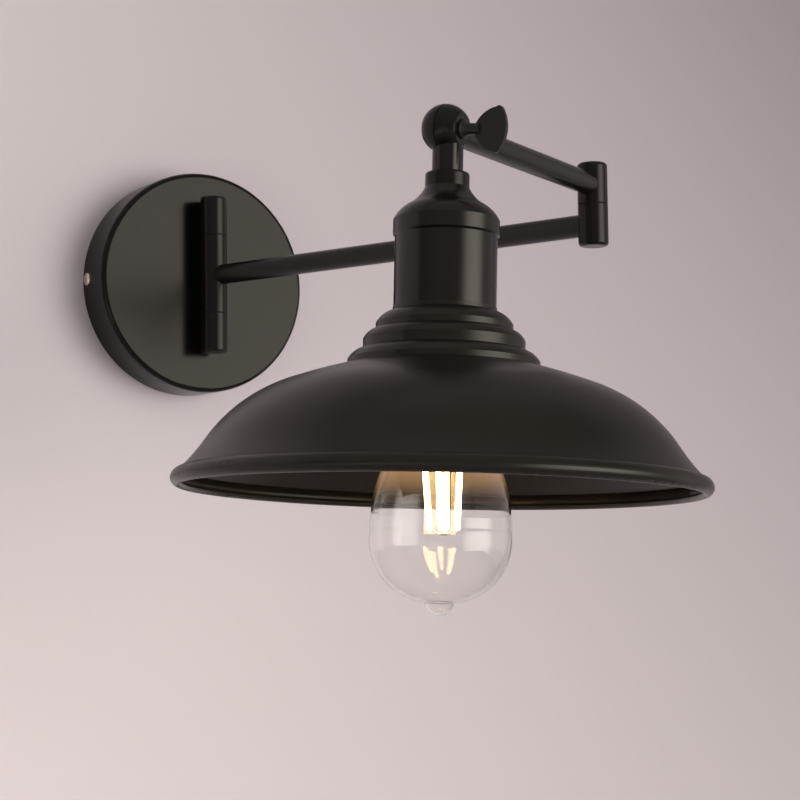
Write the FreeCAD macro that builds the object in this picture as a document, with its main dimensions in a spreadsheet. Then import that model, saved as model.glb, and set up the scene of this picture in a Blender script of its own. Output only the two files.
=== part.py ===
import FreeCAD, Part
import Sketcher
import os

# Swing-arm wall lamp: a round canopy carries a vertical hinge barrel, two level
# tube arms meet at an elbow barrel, and a split ball at the far end holds a spun
# shade with a clear filament bulb.
# The origin is the canopy's centre on the wall.  +Z is up, -Y points out of the
# wall and +X is to the right for somebody who faces the wall.

doc = FreeCAD.newDocument("SwingArmWallLamp")
sheet = doc.addObject("Spreadsheet::Sheet", "Dims")

DIMENSIONS = [
    # canopy and its mounting, mm
    ("canopy_radius", 68, "outer radius of the canopy"),
    ("canopy_depth", 29, "canopy rim to canopy face"),
    ("canopy_wall", 1.5, "sheet thickness of the canopy"),
    ("canopy_rounding", 3, "rounding of the canopy's front edge"),
    ("bracket_width", 22, "width of the wall strip"),
    ("bracket_thick", 2, "thickness of the wall strip"),
    ("bracket_gap", 1.6, "ear to the canopy's inner wall"),
    ("ear_depth", 15, "how far the ears stand off the wall"),
    ("slot_spacing", 66, "distance between the centres of the two wall slots"),
    ("slot_length", 22, "end-to-end length of a wall slot"),
    ("slot_radius", 2.5, "half the width of a wall slot"),
    ("cable_hole_radius", 9, "cable hole in the wall strip"),
    ("side_screw_out", 8, "side screws: distance from the wall"),
    ("side_screw_radius", 2, "side screw shank"),
    ("side_screw_head_radius", 3.9, "side screw head"),
    ("side_screw_head_high", 2.2, "side screw head height"),
    ("side_screw_reach", 9, "side screw shank length"),
    ("screw_clearance", 0.05, "thread and shank clearance"),
    # base hinge
    ("barrel_radius", 8, "radius of the base barrel"),
    ("barrel_standoff", 12.5, "canopy face to the barrel's axis"),
    ("barrel_height", 3, "barrel centre above the canopy centre"),
    ("sleeve_length", 48, "middle section of the barrel, joint to joint"),
    ("knuckle_length", 24, "end section of the barrel"),
    ("barrel_rounding", 2, "rounding of a barrel's outer ends"),
    ("joint_bevel", 0.2, "bevel along a joint line"),
    ("joint_washer_thick", 0.4, "washer in each joint line"),
    ("joint_washer_recess", 0.5, "washer edge to the outside of its barrel"),
    ("pin_radius", 4, "hinge pin"),
    ("pin_bore", 2.4, "bore of the hollow hinge pins, for the wires"),
    ("pin_fit", 0.05, "running clearance round a pin"),
    ("pin_seat", 0.02, "seat clearance round the fixed end of a pin"),
    ("barrel_floor", 3, "solid end of a barrel beyond its bore"),
    ("pin_end_gap", 0.5, "free end of a pin to the end of its bore"),
    ("post_radius", 4, "post from a knuckle back to the canopy"),
    ("stud_radius", 3, "threaded stud behind the post"),
    ("stud_length", 10, "stud length behind the canopy face"),
    ("stud_clearance", 0.2, "stud to its hole in the canopy"),
    ("wire_way_radius", 1.5, "hole through post and stud, for the wires"),
    ("nut_corner_radius", 5.7, "corner radius of the stud's hexagon nut"),
    ("nut_thick", 5, "thickness of the stud nut"),
    ("washer_radius", 8, "washer under the stud nut"),
    ("washer_thick", 1, "thickness of that washer"),
    # arms
    ("arm_1_turn", -69.3, "direction of arm 1 seen from above, degrees from +X"),
    ("arm_1_reach", 272, "base axis to elbow axis"),
    ("arm_1_height", 2.5, "axis of arm 1 above the origin"),
    ("arm_2_turn", -82.4, "direction of arm 2 against arm 1, degrees"),
    ("arm_2_reach", 162, "elbow axis to ball centre"),
    ("arm_2_height", 23.5, "axis of arm 2 above the origin"),
    ("tube_radius", 6, "outer radius of both arm tubes"),
    ("tube_wall", 1, "wall of both arm tubes"),
    ("weld_gap", 0.05, "coped tube end to what it is welded to"),
    ("elbow_radius", 8, "radius of the elbow barrel"),
    ("elbow_overhang", 11.75, "an arm's axis to the near end of the elbow barrel"),
    # tilt joint
    ("ball_radius", 11.5, "radius of the split ball"),
    ("ball_flat", 8.8, "ball centre to the flat on each side"),
    ("seam_washer_thick", 0.4, "fibre washer between the half balls"),
    ("seam_washer_recess", 0.4, "washer edge to the surface of the ball"),
    ("ball_relief", 0.6, "gap between a half ball and the other side's tube"),
    ("screw_dip", 7.2, "how far the tilt axis dips below level, degrees"),
    ("head_tilt", 2.5, "lean of the head away from the elbow, degrees"),
    ("head_lean", 0.8, "sideways lean of the head, degrees"),
    ("head_offset", 1.2, "head's axis to the ball centre, along the tilt axis"),
    ("screw_radius", 3, "thread radius of the wing screw"),
    ("screw_depth", 7.6, "thread length past the seam"),
    ("boss_radius", 4.6, "foot of the wing screw's conical boss"),
    ("boss_land", 0.8, "straight foot of the boss"),
    ("boss_height", 4.6, "ball's flat to the top of the boss"),
    ("boss_hollow", 0.35, "how far the cone of the boss is drawn in"),
    ("neck_radius", 2.75, "neck of the wing screw"),
    ("neck_length", 2.6, "top of the boss to the inner edge of the wings"),
    ("neck_sunk", 2, "how far the neck runs up into the wings"),
    ("wing_flank", 9.6, "inner edge of the wings to where a tip starts"),
    ("wing_tip_height", 2.6, "length of a wing's rounded tip"),
    ("wing_height", 15.5, "inner to outer edge of the wings"),
    ("wing_half", 10.8, "half the span of the wings"),
    ("wing_tip_inset", 0.6, "how far a tip's ends are drawn in"),
    ("wing_flank_bulge", 1, "how far a wing's flank bulges, to each side"),
    ("wing_thick", 2.3, "thickness of the wings"),
    # head, from the ball down: each height starts at the piece above
    ("stem_radius", 7.15, "stem below the ball"),
    ("stem_end", 20.8, "lower end of the stem"),
    ("collar_radius", 10.2, "collar between stem and cup"),
    ("collar_height", 6.8, "height of the collar"),
    ("collar_rounding", 1.2, "rounding of the collar's upper edge"),
    ("nipple_radius", 5, "threaded tube through stem, collar and cup"),
    ("nipple_bore", 3.6, "bore of the threaded tube"),
    ("nipple_gap", 1.5, "ball to the upper end of the threaded tube"),
    ("nipple_grip", 10, "threaded length inside the lampholder"),
    ("locknut_thick", 4, "thickness of the locknut"),
    ("locknut_radius", 8, "corner radius of the locknut"),
    ("cup_wall", 1.2, "sheet thickness of the socket cup"),
    ("cup_neck_radius", 10.2, "top of the cup's flare"),
    ("cup_ridge_drop", 8.2, "top of the cup to the ridge in its flare"),
    ("cup_ridge_radius", 17.7, "radius at that ridge"),
    ("cup_shoulder_drop", 15.4, "top of the cup to its shoulder"),
    ("cup_shoulder_radius", 24.4, "radius at the shoulder"),
    ("cup_band_height", 6.7, "height of the band under the shoulder"),
    ("cup_band_slant", 1, "height of the bevel under the band"),
    ("holder_room", 2.5, "lampholder to the inside of the cup"),
    ("cup_height", 55.7, "top to lower end of the cup"),
    ("shade_gap", 0.1, "cup to the shade's top plate"),
    ("shade_wall", 1, "sheet thickness of the shade"),
    ("neck_lip", 0.3, "how far the shade's neck stands out beyond the cup"),
    ("neck_height", 1.8, "top plate to the first step"),
    ("step_one_height", 5.8, "height of the first step's rounding"),
    ("step_one_radius", 31.3, "radius of the first step"),
    ("step_one_edge", 2.7, "straight edge of the first step"),
    ("step_two_height", 4.7, "height of the second step's rounding"),
    ("step_two_radius", 36.9, "radius of the second step"),
    ("step_two_edge", 4.5, "straight edge of the second step"),
    ("step_three_height", 5.1, "height of the third step's rounding"),
    ("step_three_radius", 43.8, "radius of the third step"),
    ("step_three_edge", 2.6, "straight edge of the third step"),
    ("brow_height", 7.8, "height of the bowl's flat top"),
    ("brow_radius", 69.4, "where the flat top bends down"),
    ("brow_lift", 0.4, "how far the flat top bulges"),
    ("bowl_height", 28.6, "height of the bowl's round flank"),
    ("bowl_radius", 107, "where the flank becomes a flare"),
    ("flare_height", 12.4, "height of the flare"),
    ("flare_sag", 0.6, "how far the flare is drawn in"),
    ("lip_crease_radius", 117, "crease above the rolled lip"),
    ("lip_height", 8.1, "crease to the lowest line of the lip"),
    ("rim_radius", 121.5, "outer radius of the lip"),
    ("lip_width", 5.2, "width of the rolled lip"),
    # lampholder and bulb
    ("holder_drop", 27.7, "top of the cup to the top of the lampholder"),
    ("shell_room", 2.3, "screw shell to the bore of the lampholder"),
    ("holder_wall", 3.4, "wall of the lampholder"),
    ("holder_height", 51.7, "height of the lampholder"),
    ("holder_depth", 26, "mouth of the lampholder to the seat of its contact"),
    ("holder_fit", 0.4, "lampholder to the hole in the shade's top plate"),
    ("ring_gap", 0.4, "clamp ring to the shade's neck"),
    ("ring_height", 6, "height of the clamp ring"),
    ("shell_wall", 0.4, "sheet thickness of the screw shell"),
    ("shell_setback", 2, "mouth of the lampholder to the end of its shell"),
    ("contact_lift", 1.2, "thickness of the lampholder's contact"),
    ("contact_radius", 4.6, "centre contact of the bulb"),
    ("contact_thick", 0.8, "thickness of the bulb's contact"),
    ("insulator_slope", 1.6, "bulb's contact to the edge of its cap"),
    ("insulator_thick", 2, "insulator inside the cap"),
    ("insulator_fit", 0.1, "insulator to the inside of the cap"),
    ("cap_radius", 13.2, "screw cap of the bulb"),
    ("cap_fit", 0.5, "screw cap to the lampholder's shell"),
    ("cap_wall", 0.5, "sheet thickness of the screw cap"),
    ("cap_length", 24.8, "length of the screw cap"),
    ("glass_wall", 0.8, "wall of the glass bulb"),
    ("glass_lip", 0.4, "how far the glass stands out beyond its cap"),
    ("glass_neck_height", 4, "straight neck of the glass"),
    ("glass_cone_height", 45.4, "cone of the glass"),
    ("glass_cone_hollow", 0.4, "how far the cone bends in"),
    ("glass_waist_radius", 27.8, "where the cone rounds out"),
    ("glass_swell_height", 25.7, "end of the cone to the widest line"),
    ("glass_radius", 32, "largest radius of the glass"),
    ("glass_dome_height", 29.9, "widest line to the foot of the dome"),
    ("glass_foot_radius", 15.4, "radius at the foot of the dome"),
    ("glass_foot_height", 8, "foot of the dome to the end of the exhaust tip"),
    ("glass_tip_height", 5.3, "height of the exhaust tip"),
    ("glass_tip_radius", 6.8, "radius of the exhaust tip at its root"),
    ("mount_radius", 4.2, "glass stem inside the bulb"),
    ("mount_drop", 32.6, "end of the cap to the end of the glass stem"),
    ("filament_radius", 0.9, "radius of one filament stick"),
    ("filament_drop", 6, "end of the glass stem to the filaments"),
    ("filament_height", 36, "height of the filaments"),
    ("filament_top_spread", 9, "filament distance from the axis at the top"),
    ("filament_foot_spread", 3.8, "filament distance from the axis at the foot"),
    ("filament_count", 4, "number of filaments"),
    ("filament_turn", 45, "direction of the first filament, degrees"),
    ("lead_radius", 0.35, "wire that carries the filaments"),
    ("lead_post_radius", 0.6, "rod in the middle of the filaments"),
    ("lead_gap", 0.05, "rod to the glass stem, and wire to its filament"),
    ("hub_gap", 0.3, "filament feet to the disc that joins them"),
    ("hub_thick", 2.2, "thickness of that disc"),
    # fittings inside the canopy
    ("block_length", 30, "terminal block along the strip"),
    ("block_width", 16, "terminal block across the strip"),
    ("block_high", 12, "terminal block height"),
    ("block_place", 17, "terminal block centre above the strip's centre line"),
    ("tongue_length", 14, "tongue of the strip that carries the block"),
    ("wire_hole_radius", 1.8, "wire entries of the terminal block"),
    ("wire_hole_pitch", 9, "distance between wire entries"),
    ("earth_place", 17, "earth screw: distance from the strip's centre"),
    ("earth_radius", 2, "earth screw shank"),
    ("earth_head_radius", 3.8, "earth screw head"),
    ("earth_head_high", 2.4, "earth screw head height"),
    ("earth_tail", 0.3, "wall plane to the end of the earth screw"),
]
for line, (alias, size, note) in enumerate(DIMENSIONS, start=1):
    sheet.set("A%d" % line, note)
    sheet.set("B%d" % line, str(size))
    sheet.setAlias("B%d" % line, alias)
doc.recompute()

SUB_PARTS = []


def number(expression):
    """Present value of an expression over the sheet."""
    result = sheet.evalExpression(expression)
    return float(getattr(result, "Value", result))


def vector(x="0", y="0", z="0"):
    return "vector(%s; %s; %s)" % (x, y, z)


def turn(axis, degrees):
    return "rotation(%s; %s)" % (axis, degrees)


X_AXIS = vector(x="1")
Y_AXIS = vector(y="1")
Z_AXIS = vector(z="1")
LEVEL = turn(Z_AXIS, "0")
ALONG_X = turn(Y_AXIS, "90")
ALONG_MINUS_Y = turn(X_AXIS, "90")


def at(frame, x="0", y="0", z="0", rotation=LEVEL):
    """Placement expression: a place and direction given in a frame."""
    return "%s.Placement * placement(%s; %s)" % (frame.Name, vector(x, y, z), rotation)


def new_frame(name, placement):
    frame = doc.addObject("App::Placement", name)
    frame.setExpression("Placement", placement)
    return frame


def cylinder(name, radius, length, placement):
    rod = doc.addObject("Part::Cylinder", name)
    rod.setExpression("Radius", radius)
    rod.setExpression("Height", length)
    rod.setExpression("Placement", placement)
    return rod


def sphere(name, radius, placement):
    ball = doc.addObject("Part::Sphere", name)
    ball.setExpression("Radius", radius)
    ball.setExpression("Placement", placement)
    return ball


def block(name, length, width, height, placement):
    box = doc.addObject("Part::Box", name)
    box.setExpression("Length", length)
    box.setExpression("Width", width)
    box.setExpression("Height", height)
    box.setExpression("Placement", placement)
    return box


def hexagon(name, corner_radius, height, placement):
    nut = doc.addObject("Part::Prism", name)
    nut.Polygon = 6
    nut.setExpression("Circumradius", corner_radius)
    nut.setExpression("Height", height)
    nut.setExpression("Placement", placement)
    return nut


def cut(name, base, tool):
    result = doc.addObject("Part::Cut", name)
    result.Base = base
    result.Tool = tool
    return result


def fuse(name, *pieces):
    result = doc.addObject("Part::MultiFuse", name)
    result.Shapes = list(pieces)
    return result


def group(name, *pieces):
    """Identical fasteners that share one sub-part."""
    result = doc.addObject("Part::Compound", name)
    result.Links = list(pieces)
    return result


def sub_part(node, shape_object):
    shape_object.Label = node
    SUB_PARTS.append(shape_object)
    return shape_object


def pin_point(sketch, geometry, end, x, y):
    """Tie one point of a sketch to two expressions."""
    for kind, size in (("DistanceX", x), ("DistanceY", y)):
        held = Sketcher.Constraint(kind, -1, 1, geometry, end, number(size))
        index = sketch.addConstraint(held)
        sketch.setExpression("Constraints[%d]" % index, size)


def draw(sketch, outline, closed):
    """Lines and arcs through the outline's points.

    A point is (radius, height), and an arc's end point is written
    (radius, height, radius half-way, height half-way).
    """
    path = list(outline)
    if closed:
        path.append(path[0][:2])
    start = path[0]
    for point in path[1:]:
        first = FreeCAD.Vector(number(start[0]), number(start[1]), 0)
        last = FreeCAD.Vector(number(point[0]), number(point[1]), 0)
        if len(point) == 4:
            middle = FreeCAD.Vector(number(point[2]), number(point[3]), 0)
            clockwise = (middle - first).cross(last - middle).z < 0
            arc = Part.Arc(last, middle, first) if clockwise else Part.Arc(first, middle, last)
            begin, finish = (2, 1) if clockwise else (1, 2)
            edge = sketch.addGeometry(arc)
            marker = sketch.addGeometry(Part.Point(middle), True)
            pin_point(sketch, marker, 1, point[2], point[3])
            sketch.addConstraint(Sketcher.Constraint("PointOnObject", marker, 1, edge))
        else:
            edge = sketch.addGeometry(Part.LineSegment(first, last))
            begin, finish = 1, 2
        pin_point(sketch, edge, begin, start[0], start[1])
        pin_point(sketch, edge, finish, point[0], point[1])
        start = point


def turned(name, outline, placement):
    """Solid of revolution about its own Z axis, from a closed half section."""
    body = doc.addObject("PartDesign::Body", name)
    sketch = body.newObject("Sketcher::SketchObject", name + "Outline")
    side = [plane for plane in body.Origin.OriginFeatures if plane.Role == "XZ_Plane"]
    sketch.AttachmentSupport = [(side[0], "")]
    sketch.MapMode = "FlatFace"
    draw(sketch, outline, True)
    solid = body.newObject("PartDesign::Revolution", name + "Turned")
    solid.Profile = sketch
    solid.ReferenceAxis = (sketch, ["V_Axis"])
    solid.Angle = 360
    body.setExpression("Placement", placement)
    return body


def hung(outline):
    """The same outline with its heights counted downwards."""
    return [tuple("(-1 * %s)" % size if index % 2 else size for index, size in enumerate(point))
            for point in outline]


def spun(name, outline, wall, placement):
    """Sheet of even thickness turned about its own Z axis; the outline is its outside."""
    sketch = doc.addObject("Sketcher::SketchObject", name + "Outline")
    sketch.Placement = FreeCAD.Placement(FreeCAD.Vector(), FreeCAD.Rotation(FreeCAD.Vector(1, 0, 0), 90))
    draw(sketch, outline, False)
    section = doc.addObject("Part::Offset2D", name + "Section")
    section.Source = sketch
    section.Mode = "Skin"
    section.Join = "Arc"
    section.Fill = True
    section.setExpression("Value", wall)
    shell = doc.addObject("Part::Revolution", name)
    shell.Source = section
    shell.Axis = FreeCAD.Vector(0, 0, 1)
    shell.Angle = 360
    shell.Solid = True
    shell.setExpression("Placement", placement)
    return shell


def ring_outline(inner, outer, low, high):
    return [(inner, low), (outer, low), (outer, high), (inner, high)]


def plus(*terms):
    return "(" + " + ".join(terms) + ")"


def minus(first, *others):
    return "(" + " - ".join((first,) + others) + ")"


def half(size):
    return "(%s / 2)" % size


def negative(size):
    return "(0 - %s)" % size


def between(first, last, share):
    """Size part of the way from one size to another."""
    return "(%s + %s * (%s - %s))" % (first, share, last, first)


# How far a quarter arc's middle point lies in from both of its tangents.
CORNER = "(1 - sin(45))"

# Frames.  Each joint axis is the Z axis of a frame, and each piece of the head
# hangs from a frame whose Z axis points down along the head.
wall = new_frame("WallFrame", "placement(%s; %s)" % (vector(), LEVEL))
canopy_axis = new_frame("CanopyAxis", at(wall, rotation=ALONG_MINUS_Y))
BASE_OUT = plus("Dims.canopy_depth", "Dims.barrel_standoff")
base_axis = new_frame("BaseAxis", at(wall, y=negative(BASE_OUT)))
arm_1_line = new_frame("Arm1Line", at(
    base_axis, z="Dims.arm_1_height", rotation=turn(Z_AXIS, "Dims.arm_1_turn")))
elbow_axis = new_frame("ElbowAxis", at(
    arm_1_line, x="Dims.arm_1_reach", z=negative("Dims.arm_1_height")))
arm_2_line = new_frame("Arm2Line", at(
    elbow_axis, z="Dims.arm_2_height", rotation=turn(Z_AXIS, "Dims.arm_2_turn")))
ball = new_frame("BallCentre", at(arm_2_line, x="Dims.arm_2_reach"))
tilt_axis = new_frame("TiltAxis", at(ball, rotation=turn(X_AXIS, "(0 - 90 - Dims.screw_dip)")))
head_lean = new_frame("HeadLean", at(
    ball, y="Dims.head_offset * cos(Dims.screw_dip)", z="-1 * Dims.head_offset * sin(Dims.screw_dip)",
    rotation=turn(X_AXIS, "(180 - Dims.head_lean)")))
head_axis = new_frame("HeadAxis", at(head_lean, rotation=turn(Y_AXIS, "Dims.head_tilt")))
COLLAR_END = plus("Dims.stem_end", "Dims.collar_height")
cup_axis = new_frame("CupAxis", at(head_axis, z=COLLAR_END))
shade_axis = new_frame("ShadeAxis", at(cup_axis, z=plus("Dims.cup_height", "Dims.shade_gap")))
holder_axis = new_frame("HolderAxis", at(cup_axis, z="Dims.holder_drop"))
HOLDER_FLOOR = minus("Dims.holder_height", "Dims.holder_depth")
bulb_axis = new_frame("BulbAxis", at(holder_axis, z=plus(
    HOLDER_FLOOR, "Dims.contact_lift", "Dims.contact_thick", "Dims.insulator_slope", "Dims.cap_length")))

# Heights along the base barrel, measured from the wall frame, and the fits of
# the hinge pins.
SLEEVE_LOW = minus("Dims.barrel_height", half("Dims.sleeve_length"))
SLEEVE_HIGH = plus("Dims.barrel_height", half("Dims.sleeve_length"))
BARREL_LOW = minus(SLEEVE_LOW, "Dims.knuckle_length")
BARREL_HIGH = plus(SLEEVE_HIGH, "Dims.knuckle_length")
HALF_WASHER = half("Dims.joint_washer_thick")
FIT_RADIUS = plus("Dims.pin_radius", "Dims.pin_fit")
SEAT_RADIUS = plus("Dims.pin_radius", "Dims.pin_seat")
CANOPY_INSIDE = minus("Dims.canopy_depth", "Dims.canopy_wall")


def end_barrel(bore, joint, end, radius, inward):
    """Half section of a barrel's closed, rounded end with its joint face and bore.

    inward is 1 where the closed end is the lower one, and -1 where it is the upper.
    """
    side = "(%s + %d * Dims.barrel_rounding)" % (end, inward)
    floor = "(%s + %d * Dims.barrel_floor)" % (end, inward)
    return [
        ("0", end),
        (minus(radius, "Dims.barrel_rounding"), end),
        (radius, side, minus(radius, "Dims.barrel_rounding * " + CORNER),
         "(%s + %d * Dims.barrel_rounding * %s)" % (end, inward, CORNER)),
        (radius, "(%s - %d * Dims.joint_bevel)" % (joint, inward)),
        (minus(radius, "Dims.joint_bevel"), joint),
        (bore, joint),
        (bore, floor),
        ("0", floor),
    ]


# Wall strip: slotted, with a tongue for the terminal block and two ears bent
# outward that take the canopy's side screws.
EAR_FACE = minus("Dims.canopy_radius", "Dims.canopy_wall", "Dims.bracket_gap")
STRIP_FOOT = negative(half("Dims.bracket_width"))
strip = block("Strip", "2 * " + EAR_FACE, "Dims.bracket_thick", "Dims.bracket_width",
              at(wall, x=negative(EAR_FACE), y=negative("Dims.bracket_thick"), z=STRIP_FOOT))
ears = []
for side, ear_x in (("Left", negative(EAR_FACE)), ("Right", minus(EAR_FACE, "Dims.bracket_thick"))):
    ears.append(block("Ear" + side, "Dims.bracket_thick", "Dims.ear_depth", "Dims.bracket_width",
                      at(wall, x=ear_x, y=negative("Dims.ear_depth"), z=STRIP_FOOT)))
tongue = block("Tongue", "Dims.block_length", "Dims.bracket_thick", "Dims.tongue_length",
               at(wall, x=negative(half("Dims.block_length")), y=negative("Dims.bracket_thick"),
                  z=half("Dims.bracket_width")))
strip_holes = [
    cylinder("CableHole", "Dims.cable_hole_radius", "2 * Dims.bracket_thick",
             at(wall, y=half("Dims.bracket_thick"), rotation=ALONG_MINUS_Y)),
    cylinder("EarthHole", plus("Dims.earth_radius", "Dims.screw_clearance"), "2 * Dims.bracket_thick",
             at(wall, x="Dims.earth_place", y=half("Dims.bracket_thick"), rotation=ALONG_MINUS_Y)),
    cylinder("EarHole", plus("Dims.side_screw_radius", "Dims.screw_clearance"), "3 * Dims.canopy_radius",
             at(wall, x="-1.5 * Dims.canopy_radius", y=negative("Dims.side_screw_out"), rotation=ALONG_X)),
]
SLOT_STRAIGHT = minus("Dims.slot_length", "2 * Dims.slot_radius")
for side, slot_x in (("Left", negative(half("Dims.slot_spacing"))), ("Right", half("Dims.slot_spacing"))):
    for end, shift in (("Inner", negative(half(SLOT_STRAIGHT))), ("Outer", half(SLOT_STRAIGHT))):
        strip_holes.append(cylinder("Slot" + side + end, "Dims.slot_radius", "2 * Dims.bracket_thick",
                                    at(wall, x=plus(slot_x, shift), y=half("Dims.bracket_thick"),
                                       rotation=ALONG_MINUS_Y)))
    strip_holes.append(block("Slot" + side + "Middle", SLOT_STRAIGHT, "2 * Dims.bracket_thick",
                             "2 * Dims.slot_radius",
                             at(wall, x=minus(slot_x, half(SLOT_STRAIGHT)), y="-1.5 * Dims.bracket_thick",
                                z=negative("Dims.slot_radius"))))
sub_part("wall_bracket", cut("WallBracket", fuse("StripWithEars", strip, tongue, *ears),
                             fuse("StripHoles", *strip_holes)))

# Terminal block on the strip's tongue, with three wire entries.
BLOCK_LOW = minus("Dims.block_place", half("Dims.block_width"))
housing = block("BlockHousing", "Dims.block_length", "Dims.block_high", "Dims.block_width",
                at(wall, x=negative(half("Dims.block_length")),
                   y=negative(plus("Dims.bracket_thick", "Dims.block_high")), z=BLOCK_LOW))
entries = []
for entry in (-1, 0, 1):
    entries.append(cylinder("WireEntry%d" % (entry + 2), "Dims.wire_hole_radius", "2 * Dims.block_width",
                            at(wall, x="%d * Dims.wire_hole_pitch" % entry,
                               y=negative(plus("Dims.bracket_thick", half("Dims.block_high"))),
                               z=minus("Dims.block_place", "Dims.block_width"))))
sub_part("terminal_block", cut("TerminalBlock", housing, fuse("WireEntries", *entries)))

# Earth screw in the strip.
EARTH_TOP = plus("Dims.bracket_thick", "Dims.earth_head_high")
sub_part("earth_screw", turned("EarthScrew", [
    ("0", "Dims.earth_tail"),
    ("Dims.earth_radius", "Dims.earth_tail"),
    ("Dims.earth_radius", "Dims.bracket_thick"),
    ("Dims.earth_head_radius", "Dims.bracket_thick"),
    ("Dims.earth_head_radius", EARTH_TOP),
    ("0", EARTH_TOP),
], at(canopy_axis, x="Dims.earth_place")))

# Canopy: a shallow spun dish, open towards the wall, with holes for the two
# studs of the barrel and for its side screws.
ROUNDED = "Dims.canopy_rounding"
EDGE_SLANT = "%s * %s" % (ROUNDED, CORNER)
canopy_dish = spun("CanopyDish", [
    ("0", "Dims.canopy_depth"),
    (minus("Dims.canopy_radius", ROUNDED), "Dims.canopy_depth"),
    ("Dims.canopy_radius", minus("Dims.canopy_depth", ROUNDED),
     minus("Dims.canopy_radius", EDGE_SLANT), minus("Dims.canopy_depth", EDGE_SLANT)),
    ("Dims.canopy_radius", "0"),
], negative("Dims.canopy_wall"), at(canopy_axis))
KNUCKLES = {
    "upper": plus(SLEEVE_HIGH, half("Dims.knuckle_length")),
    "lower": minus(SLEEVE_LOW, half("Dims.knuckle_length")),
}
canopy_holes = [
    cylinder("SideScrewHoles", plus("Dims.side_screw_radius", "Dims.screw_clearance"),
             "3 * Dims.canopy_radius",
             at(wall, x="-1.5 * Dims.canopy_radius", y=negative("Dims.side_screw_out"), rotation=ALONG_X)),
]
for place, knuckle_z in KNUCKLES.items():
    canopy_holes.append(cylinder("StudHole" + place.title(), plus("Dims.stud_radius", "Dims.stud_clearance"),
                                 "3 * Dims.canopy_wall",
                                 at(wall, y=negative(minus("Dims.canopy_depth", "2 * Dims.canopy_wall")),
                                    z=knuckle_z, rotation=ALONG_MINUS_Y)))
sub_part("canopy", cut("Canopy", canopy_dish, fuse("CanopyHoles", *canopy_holes)))

# Side screws: one on each side, through the canopy into an ear.
side_screws = []
SCREW_SEAT = "Dims.canopy_radius"
SCREW_EDGE = plus(SCREW_SEAT, half("Dims.side_screw_head_high"))
SCREW_TOP = plus(SCREW_SEAT, "Dims.side_screw_head_high")
SCREW_CROWN = half("Dims.side_screw_head_radius")
for side, facing in (("Left", "-90"), ("Right", "90")):
    side_screws.append(turned("SideScrew" + side, [
        ("0", minus(SCREW_SEAT, "Dims.side_screw_reach")),
        ("Dims.side_screw_radius", minus(SCREW_SEAT, "Dims.side_screw_reach")),
        ("Dims.side_screw_radius", SCREW_SEAT),
        ("Dims.side_screw_head_radius", SCREW_SEAT),
        ("Dims.side_screw_head_radius", SCREW_EDGE),
        (SCREW_CROWN, SCREW_TOP, between(SCREW_CROWN, "Dims.side_screw_head_radius", "0.6"),
         between(SCREW_EDGE, SCREW_TOP, "0.68")),
        ("0", SCREW_TOP),
    ], at(wall, y=negative("Dims.side_screw_out"), rotation=turn(Y_AXIS, facing))))
sub_part("canopy_side_screws", group("SideScrews", *side_screws))

# Knuckles: the two end sections of the base barrel, each on a post with a
# threaded stud that passes through the canopy's face into a washer and a nut.
KNUCKLE_ENDS = {
    "upper": (plus(SLEEVE_HIGH, HALF_WASHER), BARREL_HIGH, -1),
    "lower": (minus(SLEEVE_LOW, HALF_WASHER), BARREL_LOW, 1),
}
TO_THE_WALL = turn(X_AXIS, "-90")
POST_ROOT = half(plus(SEAT_RADIUS, "Dims.barrel_radius"))
THREAD_FIT = plus("Dims.stud_radius", "Dims.screw_clearance")
NUT_FRONT = minus(CANOPY_INSIDE, "Dims.washer_thick")
washers = []
nuts = []
for place, knuckle_z in KNUCKLES.items():
    title = place.title()
    joint, end, inward = KNUCKLE_ENDS[place]
    barrel = turned("Barrel" + title, end_barrel(
        SEAT_RADIUS, joint, end, "Dims.barrel_radius", inward), at(base_axis))
    post = cylinder("Post" + title, "Dims.post_radius", minus("Dims.barrel_standoff", POST_ROOT),
                    at(base_axis, y=POST_ROOT, z=knuckle_z, rotation=TO_THE_WALL))
    stud = cylinder("Stud" + title, "Dims.stud_radius", "Dims.stud_length",
                    at(wall, y=negative("Dims.canopy_depth"), z=knuckle_z, rotation=TO_THE_WALL))
    wire_way = cylinder("WireWay" + title, "Dims.wire_way_radius",
                        plus("Dims.barrel_standoff", "2 * Dims.stud_length"),
                        at(base_axis, z=knuckle_z, rotation=TO_THE_WALL))
    sub_part("base_knuckle_" + place,
             cut("Knuckle" + title, fuse("KnuckleSolid" + title, barrel, post, stud), wire_way))
    washer_disc = cylinder("WasherDisc" + title, "Dims.washer_radius", "Dims.washer_thick",
                           at(wall, y=negative(CANOPY_INSIDE), z=knuckle_z, rotation=TO_THE_WALL))
    washer_hole = cylinder("WasherHole" + title, THREAD_FIT, "3 * Dims.washer_thick",
                           at(wall, y=negative(plus(CANOPY_INSIDE, "Dims.washer_thick")), z=knuckle_z,
                              rotation=TO_THE_WALL))
    washers.append(cut("StudWasher" + title, washer_disc, washer_hole))
    nut_body = hexagon("NutBody" + title, "Dims.nut_corner_radius", "Dims.nut_thick",
                       at(wall, y=negative(NUT_FRONT), z=knuckle_z, rotation=TO_THE_WALL))
    nut_hole = cylinder("NutHole" + title, THREAD_FIT, "3 * Dims.nut_thick",
                        at(wall, y=negative(plus(NUT_FRONT, "Dims.nut_thick")), z=knuckle_z,
                           rotation=TO_THE_WALL))
    nuts.append(cut("StudNut" + title, nut_body, nut_hole))
sub_part("post_washers", group("PostWashers", *washers))
sub_part("post_nuts", group("PostNuts", *nuts))

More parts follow.
